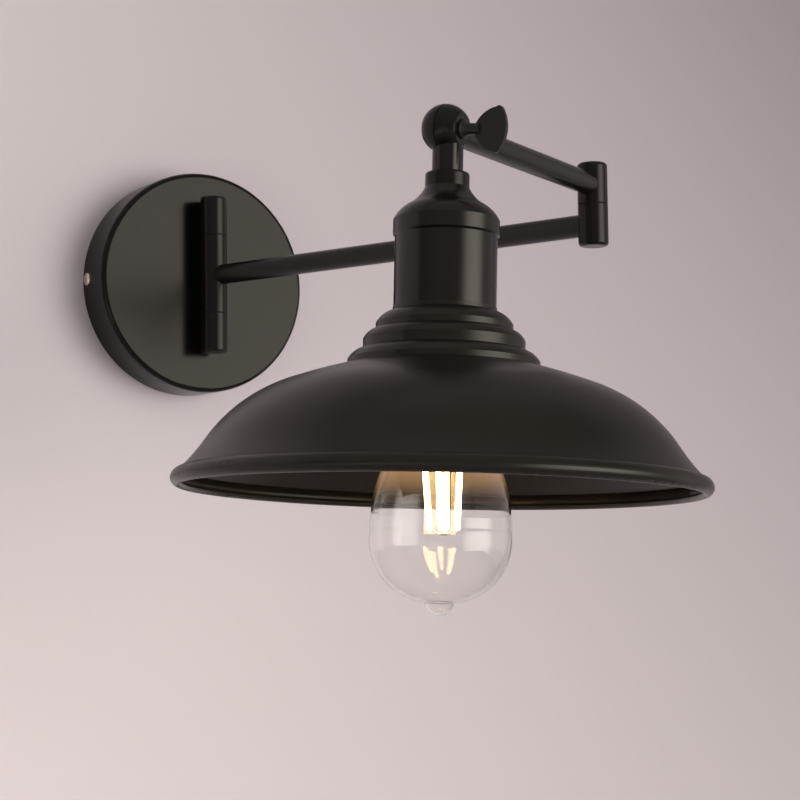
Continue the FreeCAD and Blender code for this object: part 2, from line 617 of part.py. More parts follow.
# Base hinge pin and the two thin washers in the joint lines.
PIN_INSET = plus("Dims.barrel_floor", "Dims.pin_end_gap")
sub_part("base_hinge_pin", turned("BaseHingePin", ring_outline(
    "Dims.pin_bore", "Dims.pin_radius", plus(BARREL_LOW, PIN_INSET), minus(BARREL_HIGH, PIN_INSET)),
    at(base_axis)))
joint_washers = []
for name, joint_z in (("Low", SLEEVE_LOW), ("High", SLEEVE_HIGH)):
    joint_washers.append(turned("JointWasher" + name, ring_outline(
        FIT_RADIUS, minus("Dims.barrel_radius", "Dims.joint_washer_recess"),
        minus(joint_z, HALF_WASHER), plus(joint_z, HALF_WASHER)), at(base_axis)))
sub_part("base_hinge_washers", group("BaseHingeWashers", *joint_washers))

# Sleeve that turns on the base pin.
sleeve_low = plus(SLEEVE_LOW, HALF_WASHER)
sleeve_high = minus(SLEEVE_HIGH, HALF_WASHER)
sub_part("base_sleeve", turned("BaseSleeve", [
    (FIT_RADIUS, sleeve_low),
    (minus("Dims.barrel_radius", "Dims.joint_bevel"), sleeve_low),
    ("Dims.barrel_radius", plus(sleeve_low, "Dims.joint_bevel")),
    ("Dims.barrel_radius", minus(sleeve_high, "Dims.joint_bevel")),
    (minus("Dims.barrel_radius", "Dims.joint_bevel"), sleeve_high),
    (FIT_RADIUS, sleeve_high),
], at(base_axis)))

# Arm 1: tube coped to the sleeve at one end and to the elbow at the other.


def arm_tube(name, line, start_radius, stop, extra_cuts):
    """Round tube along a frame's X axis, its start coped to a barrel at the frame's origin."""
    rod = cylinder(name + "Rod", "Dims.tube_radius", stop, at(line, rotation=ALONG_X))
    hollow = cylinder(name + "Hollow", minus("Dims.tube_radius", "Dims.tube_wall"), "3 * " + stop,
                      at(line, x="-1 * " + stop, rotation=ALONG_X))
    cope = cylinder(name + "Cope", plus(start_radius, "Dims.weld_gap"), "6 * Dims.tube_radius",
                    at(line, z="-3 * Dims.tube_radius"))
    return cut(name, rod, fuse(name + "Removed", hollow, cope, *extra_cuts))


elbow_cope = cylinder("Arm1ElbowCope", plus("Dims.elbow_radius", "Dims.weld_gap"), "6 * Dims.tube_radius",
                      at(arm_1_line, x="Dims.arm_1_reach", z="-3 * Dims.tube_radius"))
sub_part("arm_1_tube", arm_tube("Arm1Tube", arm_1_line, "Dims.barrel_radius", "Dims.arm_1_reach",
                                [elbow_cope]))

# Elbow: lower barrel on arm 1 with the fixed pin, upper barrel on arm 2.
ELBOW_BOTTOM = minus("Dims.arm_1_height", "Dims.elbow_overhang")
ELBOW_TOP = plus("Dims.arm_2_height", "Dims.elbow_overhang")
ELBOW_SPLIT = half(plus("Dims.arm_1_height", "Dims.arm_2_height"))
LOWER_FACE = minus(ELBOW_SPLIT, HALF_WASHER)
UPPER_FACE = plus(ELBOW_SPLIT, HALF_WASHER)
sub_part("elbow_lower_barrel", turned("ElbowLowerBarrel", end_barrel(
    SEAT_RADIUS, LOWER_FACE, ELBOW_BOTTOM, "Dims.elbow_radius", 1), at(elbow_axis)))
sub_part("elbow_pin", turned("ElbowPin", ring_outline(
    "Dims.pin_bore", "Dims.pin_radius", plus(ELBOW_BOTTOM, "Dims.barrel_floor"),
    minus(ELBOW_TOP, PIN_INSET)), at(elbow_axis)))
sub_part("elbow_washer", turned("ElbowWasher", ring_outline(
    FIT_RADIUS, minus("Dims.elbow_radius", "Dims.joint_washer_recess"), LOWER_FACE, UPPER_FACE),
    at(elbow_axis)))
sub_part("elbow_upper_barrel", turned("ElbowUpperBarrel", end_barrel(
    FIT_RADIUS, UPPER_FACE, ELBOW_TOP, "Dims.elbow_radius", -1), at(elbow_axis)))

# Split ball.  The rear half is welded to arm 2, the front half to the stem, and
# the wing screw clamps them on a thin washer.
SEAM = half("Dims.seam_washer_thick")
THREAD_HOLE = plus("Dims.screw_radius", "Dims.pin_fit")
SEAM_ANGLE = "asin(%s / Dims.ball_radius)" % SEAM
FLAT_ANGLE = "asin(Dims.ball_flat / Dims.ball_radius)"
BULGE_ANGLE = half(plus(SEAM_ANGLE, FLAT_ANGLE))


def half_ball(name, sign):
    """Half ball with a flat outside face and a hole along the tilt axis."""
    return turned(name, [
        (THREAD_HOLE, "%s * %s" % (sign, SEAM)),
        ("Dims.ball_radius * cos(%s)" % SEAM_ANGLE, "%s * %s" % (sign, SEAM)),
        ("Dims.ball_radius * cos(%s)" % FLAT_ANGLE, "%s * Dims.ball_flat" % sign,
         "Dims.ball_radius * cos(%s)" % BULGE_ANGLE,
         "%s * Dims.ball_radius * sin(%s)" % (sign, BULGE_ANGLE)),
        (THREAD_HOLE, "%s * Dims.ball_flat" % sign),
    ], at(tilt_axis))


sub_part("rear_half_ball", half_ball("RearHalfBall", "-1"))
sub_part("seam_washer", turned("SeamWasher", ring_outline(
    THREAD_HOLE, minus("Dims.ball_radius", "Dims.seam_washer_recess"), negative(SEAM), SEAM),
    at(tilt_axis)))

# Arm 2: coped to the elbow, seated on the rear half ball and relieved where the
# front half ball sweeps past it.
ball_seat = sphere("Arm2BallSeat", plus("Dims.ball_radius", "Dims.weld_gap"), at(ball))
relief_ball = sphere("Arm2ReliefBall", plus("Dims.ball_radius", "Dims.ball_relief"), at(ball))
RELIEF_BOX = "4 * Dims.ball_radius"
front_space = block("Arm2FrontSpace", RELIEF_BOX, RELIEF_BOX, RELIEF_BOX,
                    at(tilt_axis, x="-2 * Dims.ball_radius", y="-2 * Dims.ball_radius", z=negative(SEAM)))
relief = doc.addObject("Part::Common", "Arm2Relief")
relief.Base = relief_ball
relief.Tool = front_space
sub_part("arm_2_tube", arm_tube("Arm2Tube", arm_2_line, "Dims.elbow_radius", "Dims.arm_2_reach",
                                [ball_seat, relief]))

# Wing screw: threaded shaft, conical boss, neck and a flat butterfly head.
BOSS_TOP = plus("Dims.ball_flat", "Dims.boss_height")
BOSS_FOOT = plus("Dims.ball_flat", "Dims.boss_land")
WING_ROOT = plus(BOSS_TOP, "Dims.neck_length")
NECK_TOP = plus(WING_ROOT, "Dims.neck_sunk")
wing_shaft = turned("WingShaft", [
    ("0", negative("Dims.screw_depth")),
    ("Dims.screw_radius", negative("Dims.screw_depth")),
    ("Dims.screw_radius", "Dims.ball_flat"),
    ("Dims.boss_radius", "Dims.ball_flat"),
    ("Dims.boss_radius", BOSS_FOOT),
    ("Dims.neck_radius", BOSS_TOP,
     minus(half(plus("Dims.boss_radius", "Dims.neck_radius")), "Dims.boss_hollow"),
     minus(half(plus(BOSS_FOOT, BOSS_TOP)), "Dims.boss_hollow")),
    ("Dims.neck_radius", NECK_TOP),
    ("0", NECK_TOP),
], at(tilt_axis))
wings = doc.addObject("PartDesign::Body", "Wings")
wing_outline = wings.newObject("Sketcher::SketchObject", "WingsOutline")
wing_plane = [plane for plane in wings.Origin.OriginFeatures if plane.Role == "XY_Plane"]
wing_outline.AttachmentSupport = [(wing_plane[0], "")]
wing_outline.MapMode = "FlatFace"
TIP_LOW = plus(WING_ROOT, "Dims.wing_flank")
TIP_HIGH = plus(TIP_LOW, "Dims.wing_tip_height")
TIP_SIDE = minus("Dims.wing_half", "Dims.wing_tip_inset")
FLANK_SIDE = plus(half(plus("Dims.neck_radius", TIP_SIDE)), "Dims.wing_flank_bulge")
FLANK_HIGH = minus(half(plus(WING_ROOT, TIP_LOW)), "Dims.wing_flank_bulge")
draw(wing_outline, [
    (negative("Dims.neck_radius"), WING_ROOT),
    ("Dims.neck_radius", WING_ROOT),
    (TIP_SIDE, TIP_LOW, FLANK_SIDE, FLANK_HIGH),
    (TIP_SIDE, TIP_HIGH, "Dims.wing_half", half(plus(TIP_LOW, TIP_HIGH))),
    (negative(TIP_SIDE), TIP_HIGH, "0", plus(WING_ROOT, "Dims.wing_height")),
    (negative(TIP_SIDE), TIP_LOW, negative("Dims.wing_half"), half(plus(TIP_LOW, TIP_HIGH))),
    (negative("Dims.neck_radius"), WING_ROOT, negative(FLANK_SIDE), FLANK_HIGH),
], False)
wing_pad = wings.newObject("PartDesign::Pad", "WingsPad")
wing_pad.Profile = wing_outline
wing_pad.setExpression("Length", "Dims.wing_thick")
wing_pad.Midplane = True
wings.setExpression("Placement", at(tilt_axis, rotation=turn(vector("1", "1", "1"), "120")))
sub_part("wing_screw", fuse("WingScrew", wing_shaft, wings))

# Front half ball with the stem that carries the head, relieved where it passes
# the rear half ball.
sub_part("front_half_ball", half_ball("FrontHalfBall", "1"))
stem_rod = cylinder("StemRod", "Dims.stem_radius", minus("Dims.stem_end", half("Dims.ball_radius")),
                    at(head_axis, z=half("Dims.ball_radius")))
stem_seat = sphere("StemSeat", plus("Dims.ball_radius", "Dims.weld_gap"), at(ball))
stem_relief_ball = sphere("StemReliefBall", plus("Dims.ball_radius", "Dims.ball_relief"), at(ball))
rear_space = block("StemRearSpace", RELIEF_BOX, RELIEF_BOX, RELIEF_BOX,
                   at(tilt_axis, x="-2 * Dims.ball_radius", y="-2 * Dims.ball_radius",
                      z=plus("-4 * Dims.ball_radius", SEAM)))
stem_relief = doc.addObject("Part::Common", "StemRelief")
stem_relief.Base = stem_relief_ball
stem_relief.Tool = rear_space
NIPPLE_HOLE = plus("Dims.nipple_radius", "Dims.screw_clearance")
NIPPLE_START = plus("Dims.ball_radius", "Dims.nipple_gap")
nipple_thread = cylinder("StemThread", NIPPLE_HOLE, "Dims.stem_end", at(head_axis, z=NIPPLE_START))
sub_part("stem", cut("Stem", stem_rod, fuse("StemRemoved", stem_seat, stem_relief, nipple_thread)))

# Collar between the stem and the cup, with a rounded upper edge.
sub_part("stem_collar", turned("StemCollar", [
    (NIPPLE_HOLE, "Dims.stem_end"),
    (minus("Dims.collar_radius", "Dims.collar_rounding"), "Dims.stem_end"),
    ("Dims.collar_radius", plus("Dims.stem_end", "Dims.collar_rounding"),
     minus("Dims.collar_radius", "Dims.collar_rounding * " + CORNER),
     plus("Dims.stem_end", "Dims.collar_rounding * " + CORNER)),
    ("Dims.collar_radius", COLLAR_END),
    (NIPPLE_HOLE, COLLAR_END),
], at(head_axis)))

# Threaded tube and locknut that clamp stem, collar, cup and lampholder together.
sub_part("threaded_nipple", turned("ThreadedNipple", ring_outline(
    "Dims.nipple_bore", "Dims.nipple_radius", NIPPLE_START,
    plus(COLLAR_END, "Dims.holder_drop", "Dims.nipple_grip")), at(head_axis)))
locknut_body = hexagon("LocknutBody", "Dims.locknut_radius", "Dims.locknut_thick",
                       at(cup_axis, z="Dims.cup_wall"))
locknut_hole = cylinder("LocknutHole", NIPPLE_HOLE, "3 * Dims.locknut_thick",
                        at(cup_axis, z=minus("Dims.cup_wall", "Dims.locknut_thick")))
sub_part("nipple_locknut", cut("NippleLocknut", locknut_body, locknut_hole))


def hanging(frame):
    """Placement for an outline that is drawn the way it hangs, downwards."""
    return at(frame, rotation=turn(X_AXIS, "180"))


# Radii that follow from the bulb's screw cap, from the inside out.
SHELL_INSIDE = plus("Dims.cap_radius", "Dims.cap_fit")
SHELL_OUT = plus(SHELL_INSIDE, "Dims.shell_wall")
HOLDER_BORE = plus(SHELL_OUT, "Dims.shell_room")
HOLDER_OUT = plus(HOLDER_BORE, "Dims.holder_wall")
CUP_OUT = plus(HOLDER_OUT, "Dims.holder_room", "Dims.cup_wall")
SHADE_NECK = plus(CUP_OUT, "Dims.neck_lip")

# Socket cup: spun sheet with an ogee flare, a shoulder band and a plain cylinder.
CUP_BAND_END = plus("Dims.cup_shoulder_drop", "Dims.cup_band_height")
sub_part("socket_cup", spun("SocketCup", hung([
    (NIPPLE_HOLE, "0"),
    ("Dims.cup_neck_radius", "0"),
    ("Dims.cup_ridge_radius", "Dims.cup_ridge_drop",
     between("Dims.cup_neck_radius", "Dims.cup_ridge_radius", "0.45"), "0.6 * Dims.cup_ridge_drop"),
    ("Dims.cup_shoulder_radius", "Dims.cup_shoulder_drop",
     between("Dims.cup_ridge_radius", "Dims.cup_shoulder_radius", "0.7"),
     between("Dims.cup_ridge_drop", "Dims.cup_shoulder_drop", "0.55")),
    ("Dims.cup_shoulder_radius", CUP_BAND_END),
    (CUP_OUT, plus(CUP_BAND_END, "Dims.cup_band_slant")),
    (CUP_OUT, "Dims.cup_height"),
]), negative("Dims.cup_wall"), hanging(cup_axis)))

# Shade: spun sheet with a flat top plate, three rounded steps, a shallow bowl
# and a flare that ends in a rolled lip.
STEP_ONE = plus("Dims.neck_height", "Dims.step_one_height")
EDGE_ONE = plus(STEP_ONE, "Dims.step_one_edge")
STEP_TWO = plus(EDGE_ONE, "Dims.step_two_height")
EDGE_TWO = plus(STEP_TWO, "Dims.step_two_edge")
STEP_THREE = plus(EDGE_TWO, "Dims.step_three_height")
EDGE_THREE = plus(STEP_THREE, "Dims.step_three_edge")
BROW = plus(EDGE_THREE, "Dims.brow_height")
FLANK = plus(BROW, "Dims.bowl_height")
CREASE = plus(FLANK, "Dims.flare_height")
RIM_END = plus(CREASE, "Dims.lip_height")
LIP_MIDDLE = half(plus(CREASE, RIM_END))


def step_edge(start, end, inner, outer):
    """Rounded edge of one step, from its inner radius out to its full radius."""
    return (outer, end, between(inner, outer, "0.68"), between(start, end, "0.45"))


shade_outline = [
    (plus(HOLDER_OUT, "Dims.holder_fit"), "0"),
    (SHADE_NECK, "0"),
    (SHADE_NECK, "Dims.neck_height"),
    step_edge("Dims.neck_height", STEP_ONE, SHADE_NECK, "Dims.step_one_radius"),
    ("Dims.step_one_radius", EDGE_ONE),
    step_edge(EDGE_ONE, STEP_TWO, "Dims.step_one_radius", "Dims.step_two_radius"),
    ("Dims.step_two_radius", EDGE_TWO),
    step_edge(EDGE_TWO, STEP_THREE, "Dims.step_two_radius", "Dims.step_three_radius"),
    ("Dims.step_three_radius", EDGE_THREE),
    ("Dims.brow_radius", BROW, half(plus("Dims.step_three_radius", "Dims.brow_radius")),
     minus(half(plus(EDGE_THREE, BROW)), "Dims.brow_lift")),
    ("Dims.bowl_radius", FLANK, between("Dims.brow_radius", "Dims.bowl_radius", "0.58"),
     between(BROW, FLANK, "0.4")),
    ("Dims.lip_crease_radius", CREASE, half(plus("Dims.bowl_radius", "Dims.lip_crease_radius")),
     plus(half(plus(FLANK, CREASE)), "Dims.flare_sag")),
    ("Dims.rim_radius", LIP_MIDDLE, between("Dims.lip_crease_radius", "Dims.rim_radius", "0.75"),
     between(CREASE, LIP_MIDDLE, "0.4")),
    (minus("Dims.rim_radius", half("Dims.lip_width")), RIM_END,
     minus("Dims.rim_radius", "0.16 * Dims.lip_width"), between(LIP_MIDDLE, RIM_END, "0.7")),
    (minus("Dims.rim_radius", "Dims.lip_width"), between(LIP_MIDDLE, RIM_END, "0.55"),
     minus("Dims.rim_radius", "0.85 * Dims.lip_width"), between(LIP_MIDDLE, RIM_END, "0.88")),
]
sub_part("shade", spun("Shade", hung(shade_outline), negative("Dims.shade_wall"), hanging(shade_axis)))

# Lampholder with its screw shell, centre contact and clamp ring.
sub_part("lampholder_body", turned("LampholderBody", [
    (NIPPLE_HOLE, "0"),
    (HOLDER_OUT, "0"),
    (HOLDER_OUT, "Dims.holder_height"),
    (HOLDER_BORE, "Dims.holder_height"),
    (HOLDER_BORE, HOLDER_FLOOR),
    (NIPPLE_HOLE, HOLDER_FLOOR),
], at(holder_axis)))
sub_part("shade_ring", turned("ShadeRing", ring_outline(
    plus(HOLDER_OUT, "Dims.screw_clearance"),
    minus(SHADE_NECK, "Dims.shade_wall", "Dims.ring_gap"),
    "Dims.shade_wall", plus("Dims.shade_wall", "Dims.ring_height")), at(shade_axis)))
sub_part("lampholder_shell", turned("LampholderShell", ring_outline(
    SHELL_INSIDE, SHELL_OUT, HOLDER_FLOOR,
    minus("Dims.holder_height", "Dims.shell_setback")), at(holder_axis)))
sub_part("lampholder_contact", cylinder("LampholderContact", "Dims.contact_radius", "Dims.contact_lift",
                                        at(holder_axis, z=HOLDER_FLOOR)))

# Bulb: clear glass, screw cap with its insulator and contact, and the glass stem
# inside with four filaments on thin wires.  Heights run down from the cap's end.
GLASS_NECK = plus("Dims.cap_radius", "Dims.glass_lip")
GLASS_WAIST = plus("Dims.glass_neck_height", "Dims.glass_cone_height")
GLASS_WIDE = plus(GLASS_WAIST, "Dims.glass_swell_height")
GLASS_FOOT = plus(GLASS_WIDE, "Dims.glass_dome_height")
GLASS_END = plus(GLASS_FOOT, "Dims.glass_foot_height")
TIP_ROOT = minus(GLASS_END, "Dims.glass_tip_height")
TIP_SPHERE = half(plus("Dims.glass_tip_radius * Dims.glass_tip_radius / Dims.glass_tip_height",
                       "Dims.glass_tip_height"))
TIP_HALF_TURN = half("asin(Dims.glass_tip_radius / %s)" % TIP_SPHERE)
sub_part("bulb_glass", spun("BulbGlass", hung([
    (GLASS_NECK, "0"),
    (GLASS_NECK, "Dims.glass_neck_height"),
    ("Dims.glass_waist_radius", GLASS_WAIST,
     minus(half(plus(GLASS_NECK, "Dims.glass_waist_radius")), "Dims.glass_cone_hollow"),
     half(plus("Dims.glass_neck_height", GLASS_WAIST))),
    ("Dims.glass_radius", GLASS_WIDE, between("Dims.glass_waist_radius", "Dims.glass_radius", "0.78"),
     half(plus(GLASS_WAIST, GLASS_WIDE))),
    ("Dims.glass_foot_radius", GLASS_FOOT, between("Dims.glass_foot_radius", "Dims.glass_radius", "0.7"),
     between(GLASS_WIDE, GLASS_FOOT, "0.68")),
    ("Dims.glass_tip_radius", TIP_ROOT, half(plus("Dims.glass_foot_radius", "Dims.glass_tip_radius")),
     between(GLASS_FOOT, TIP_ROOT, "0.65")),
    ("0", GLASS_END, "(%s * sin(%s))" % (TIP_SPHERE, TIP_HALF_TURN),
     "(%s - %s * (1 - cos(%s)))" % (GLASS_END, TIP_SPHERE, TIP_HALF_TURN)),
]), negative("Dims.glass_wall"), hanging(bulb_axis)))
CAP_INSIDE = minus("Dims.cap_radius", "Dims.cap_wall")
CAP_START = negative("Dims.cap_length")
sub_part("bulb_cap", turned("BulbCap", ring_outline(
    CAP_INSIDE, "Dims.cap_radius", CAP_START, "0"), at(bulb_axis)))
INSULATOR_TOP = minus(CAP_START, "Dims.insulator_slope")
INSULATOR_END = plus(CAP_START, "Dims.insulator_thick")
INSULATOR_SIDE = minus(CAP_INSIDE, "Dims.insulator_fit")
sub_part("bulb_insulator", turned("BulbInsulator", [
    ("0", INSULATOR_TOP),
    ("Dims.contact_radius", INSULATOR_TOP),
    (INSULATOR_SIDE, CAP_START),
    (INSULATOR_SIDE, INSULATOR_END),
    ("0", INSULATOR_END),
], at(bulb_axis)))
sub_part("bulb_contact", cylinder("BulbContact", "Dims.contact_radius", "Dims.contact_thick",
                                  at(bulb_axis, z=minus(INSULATOR_TOP, "Dims.contact_thick"))))
MOUNT_SIDE_END = minus("Dims.mount_drop", "Dims.mount_radius")
sub_part("bulb_stem", turned("BulbStem", [
    ("0", INSULATOR_END),
    ("Dims.mount_radius", INSULATOR_END),
    ("Dims.mount_radius", MOUNT_SIDE_END),
    (half("Dims.mount_radius"), "Dims.mount_drop",
     "0.88 * Dims.mount_radius", between(MOUNT_SIDE_END, "Dims.mount_drop", "0.6")),
    ("0", "Dims.mount_drop"),
], at(bulb_axis)))
FILAMENT_TOP = plus("Dims.mount_drop", "Dims.filament_drop")
FILAMENT_FOOT = plus(FILAMENT_TOP, "Dims.filament_height")
FILAMENT_INWARD = minus("Dims.filament_top_spread", "Dims.filament_foot_spread")
FILAMENT_SLOPE = "atan2(%s; Dims.filament_height)" % FILAMENT_INWARD
filaments = []
leads = []
for index in range(int(number("Dims.filament_count"))):
    title = str(index + 1)
    spoke = new_frame("FilamentSpoke" + title, at(bulb_axis, rotation=turn(
        Z_AXIS, "(Dims.filament_turn + 360 / Dims.filament_count * %d)" % index)))
    top = new_frame("FilamentTop" + title, at(
        spoke, x="Dims.filament_top_spread", z=FILAMENT_TOP,
        rotation=turn(Y_AXIS, "(-1 * %s)" % FILAMENT_SLOPE)))
    filaments.append(cylinder("Filament" + title, "Dims.filament_radius",
                              "Dims.filament_height / cos(%s)" % FILAMENT_SLOPE, at(top)))
    leads.append(cylinder("Lead" + title, "Dims.lead_radius", "Dims.filament_top_spread",
                          at(spoke, z=minus(FILAMENT_TOP, "Dims.lead_radius", "Dims.lead_gap"),
                             rotation=ALONG_X)))
sub_part("filaments", group("Filaments", *filaments))
POST_TOP = plus("Dims.mount_drop", "Dims.lead_gap")
POST_END = plus(FILAMENT_FOOT, "Dims.hub_gap", half("Dims.hub_thick"))
lead_post = cylinder("LeadPost", "Dims.lead_post_radius", minus(POST_END, POST_TOP),
                     at(bulb_axis, z=POST_TOP))
hub = cylinder("Hub", plus("Dims.filament_foot_spread", "Dims.filament_radius"), "Dims.hub_thick",
               at(bulb_axis, z=plus(FILAMENT_FOOT, "Dims.hub_gap")))
sub_part("filament_supports", fuse("FilamentSupports", lead_post, hub, *leads))

# Every object has to rebuild, and every sub-part has to be a sound solid.
doc.recompute()
faults = [item.Name for item in doc.Objects if "Invalid" in item.State or "Error" in item.State]
for piece in SUB_PARTS:
    if piece.Shape.isNull() or not piece.Shape.isValid() or not piece.Shape.Solids:
        faults.append(piece.Label)
if faults:
    raise RuntimeError("objects that failed: " + ", ".join(faults))
os.makedirs("parts", exist_ok=True)
for piece in SUB_PARTS:
    piece.Shape.exportStep("parts/%s.step" % piece.Label)
print("%d sub-parts" % len(SUB_PARTS))
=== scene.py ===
import bpy
import bmesh
from math import sin, cos, pi, radians
from mathutils import Vector, Matrix


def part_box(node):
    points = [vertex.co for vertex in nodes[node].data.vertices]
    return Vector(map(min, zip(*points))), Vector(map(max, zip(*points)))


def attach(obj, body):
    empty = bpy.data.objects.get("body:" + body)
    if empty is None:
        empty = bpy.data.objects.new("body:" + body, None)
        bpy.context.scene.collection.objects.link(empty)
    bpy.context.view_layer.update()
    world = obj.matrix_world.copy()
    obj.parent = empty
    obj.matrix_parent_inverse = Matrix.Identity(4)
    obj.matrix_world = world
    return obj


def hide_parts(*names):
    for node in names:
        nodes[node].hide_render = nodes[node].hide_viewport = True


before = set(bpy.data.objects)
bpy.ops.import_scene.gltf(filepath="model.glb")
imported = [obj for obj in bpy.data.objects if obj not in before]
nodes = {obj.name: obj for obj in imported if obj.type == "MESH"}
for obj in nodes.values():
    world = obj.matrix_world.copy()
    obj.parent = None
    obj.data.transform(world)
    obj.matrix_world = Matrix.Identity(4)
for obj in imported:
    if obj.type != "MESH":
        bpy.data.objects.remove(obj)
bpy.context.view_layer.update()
scene = bpy.context.scene
MM = 0.001

# Camera: somebody stands left of the lamp and a little below its arms, and looks
# up and to the right along a long lens.
stand = Vector((-0.543745, -1.129554, -0.178083))
heading, rise, cant = radians(31.870), radians(4.852), radians(0.721)
ahead = Vector((sin(heading) * cos(rise), cos(heading) * cos(rise), sin(rise)))
level = Vector((cos(heading), -sin(heading), 0))
above = level.cross(ahead)
eye = bpy.data.cameras.new("eye")
eye.lens, eye.sensor_width = 90, 36
eye.clip_start, eye.clip_end = 0.05, 50
onlooker = bpy.data.objects.new("eye", eye)
scene.collection.objects.link(onlooker)
frame_right = level * cos(cant) - above * sin(cant)
frame_up = level * sin(cant) + above * cos(cant)
pose = Matrix((frame_right, frame_up, -ahead)).transposed().to_4x4()
pose.translation = stand
onlooker.matrix_world = pose
scene.camera = onlooker

# Room: a pale mauve plaster wall with painted light and shade, lighter towards the lower left and darker
# towards the upper right, and the same plaster as a floor far below.  From behind, the plaster lets the
# view through.
WALL_Y, FLOOR_Z = 0.0004, -1.6
ROOM_SIDE, ROOM_FRONT, WALL_TOP = 3, -4, 2
# The two plaster colours are painted light and painted shade on the wall.
PLASTER_PAINTED_LIT = (0.745, 0.697, 0.742, 1)
PLASTER_PAINTED_SHADED = (0.245, 0.222, 0.238, 1)
FADE_FROM, FADE_TO, FADE_PER_HEIGHT = -0.5, 0.9, 1.1
BACK_OPENING, OPENING_SIDES = 0.062, 96


def new_material(name):
    material = bpy.data.materials.new(name)
    material.use_nodes = True
    return material, material.node_tree.nodes, material.node_tree.links


def add_node(parts, kind, inputs=None, **settings):
    """Shader node of one kind, with its settings and the values of its sockets."""
    node = parts.new("ShaderNode" + kind)
    for setting, value in settings.items():
        setattr(node, setting, value)
    for socket, value in (inputs or {}).items():
        node.inputs[socket].default_value = value
    return node


plaster, parts, wires = new_material("plaster")
parts.remove(parts["Principled BSDF"])
place = add_node(parts, "TexCoord")
spot = add_node(parts, "SeparateXYZ")
wires.new(place.outputs["Object"], spot.inputs[0])
# Painted light and shade: the wall's colour fades from pale at the lower left to dark at the upper right.
slope = add_node(parts, "Math", {1: FADE_PER_HEIGHT}, operation="MULTIPLY_ADD")
wires.new(spot.outputs["Z"], slope.inputs[0])
wires.new(spot.outputs["X"], slope.inputs[2])
painted_shade_fade = add_node(parts, "MapRange", {"From Min": FADE_FROM, "From Max": FADE_TO})
wires.new(slope.outputs[0], painted_shade_fade.inputs["Value"])
painted_shade_tone = add_node(parts, "Mix", {"A": PLASTER_PAINTED_LIT, "B": PLASTER_PAINTED_SHADED}, data_type="RGBA")
wires.new(painted_shade_fade.outputs[0], painted_shade_tone.inputs["Factor"])
trowel_marks = add_node(parts, "TexNoise", {"Scale": 260, "Detail": 4})
wires.new(place.outputs["Object"], trowel_marks.inputs["Vector"])
plaster_bump = add_node(parts, "Bump", {"Strength": 0.15, "Distance": 0.4 * MM})
wires.new(trowel_marks.outputs["Fac"], plaster_bump.inputs["Height"])
matt = add_node(parts, "BsdfDiffuse")
wires.new(painted_shade_tone.outputs["Result"], matt.inputs["Color"])
wires.new(plaster_bump.outputs[0], matt.inputs["Normal"])
front_only = add_node(parts, "MixShader")
wires.new(add_node(parts, "NewGeometry").outputs["Backfacing"], front_only.inputs[0])
wires.new(matt.outputs[0], front_only.inputs[1])
wires.new(add_node(parts, "BsdfTransparent").outputs[0], front_only.inputs[2])
wires.new(front_only.outputs[0], parts["Material Output"].inputs["Surface"])


def build_room_face(name, mesh):
    shape = bpy.data.meshes.new(name)
    mesh.to_mesh(shape)
    mesh.free()
    shape.materials.append(plaster)
    surface = bpy.data.objects.new(name, shape)
    scene.collection.objects.link(surface)


floor = bmesh.new()
floor.faces.new([floor.verts.new((x, y, FLOOR_Z)) for x, y in (
    (-ROOM_SIDE, ROOM_FRONT), (ROOM_SIDE, ROOM_FRONT), (ROOM_SIDE, WALL_Y), (-ROOM_SIDE, WALL_Y))])
build_room_face("floor", floor)

# The wall is open behind the canopy, so that light reaches the lamp's back.
wall, opening, edge = bmesh.new(), [], []
for k in range(OPENING_SIDES):
    turn = 2 * pi * (k + 0.5) / OPENING_SIDES
    x, z = cos(turn), sin(turn)
    to_edge = 1 / max(abs(x), abs(z))
    opening.append(wall.verts.new((BACK_OPENING * x, WALL_Y, BACK_OPENING * z)))
    edge.append(wall.verts.new((ROOM_SIDE * to_edge * x, WALL_Y, max(WALL_TOP * to_edge * z, FLOOR_Z))))
for k in range(OPENING_SIDES):
    following = (k + 1) % OPENING_SIDES
    wall.faces.new((opening[k], edge[k], edge[following], opening[following]))
build_room_face("wall", wall)

# Light: a surround of soft patches and nothing else.  The room in front is dim, and
# one large window stands right of the onlooker.
DIM_LEVEL = 0.24
DAYLIGHT = (1, 0.94, 0.87, 1)
BACKDROP = (0.58, 0.525, 0.525, 1)
PATCHES = (  # towards, full within and gone beyond so many degrees, strength
    ((0.50, -0.866, -0.06), 8, 33, 5.2),   # window
    ((1.0, -0.1, -0.3), 10, 60, 0.35),     # room at the right
    ((-0.5, -0.6, 1.1), 20, 65, 0.3),      # ceiling at the left
    ((0.0, -0.75, -1.1), 20, 50, 0.6),     # floor in front
    ((-0.8, -0.6, -0.9), 15, 48, 1.3),     # floor at the left
    ((0.1, 1.0, 0.3), 20, 75, 1.2),        # behind the wall, for the canopy's back
)
surround = bpy.data.worlds.new("surround")
scene.world = surround
surround.use_nodes = True
parts, wires = surround.node_tree.nodes, surround.node_tree.links
compass = add_node(parts, "TexCoord")


def soft_patch(towards, core, reach, strength):
    """Round patch of light with a soft edge: how bright it is in each direction."""
    nearness = add_node(parts, "VectorMath", {1: Vector(towards).normalized()}, operation="DOT_PRODUCT")
    wires.new(compass.outputs["Generated"], nearness.inputs[0])
    patch = add_node(parts, "MapRange", {
        "From Min": cos(radians(reach)), "From Max": cos(radians(core)), "To Max": strength,
    }, interpolation_type="SMOOTHSTEP")
    wires.new(nearness.outputs["Value"], patch.inputs["Value"])
    return patch.outputs[0]


brightness = None
for towards, core, reach, strength in PATCHES:
    added = add_node(parts, "Math", {1: DIM_LEVEL})
    wires.new(soft_patch(towards, core, reach, strength), added.inputs[0])
    if brightness:
        wires.new(brightness, added.inputs[1])
    brightness = added.outputs[0]
daylight = parts["Background"]
daylight.inputs["Color"].default_value = DAYLIGHT
wires.new(brightness, daylight.inputs["Strength"])

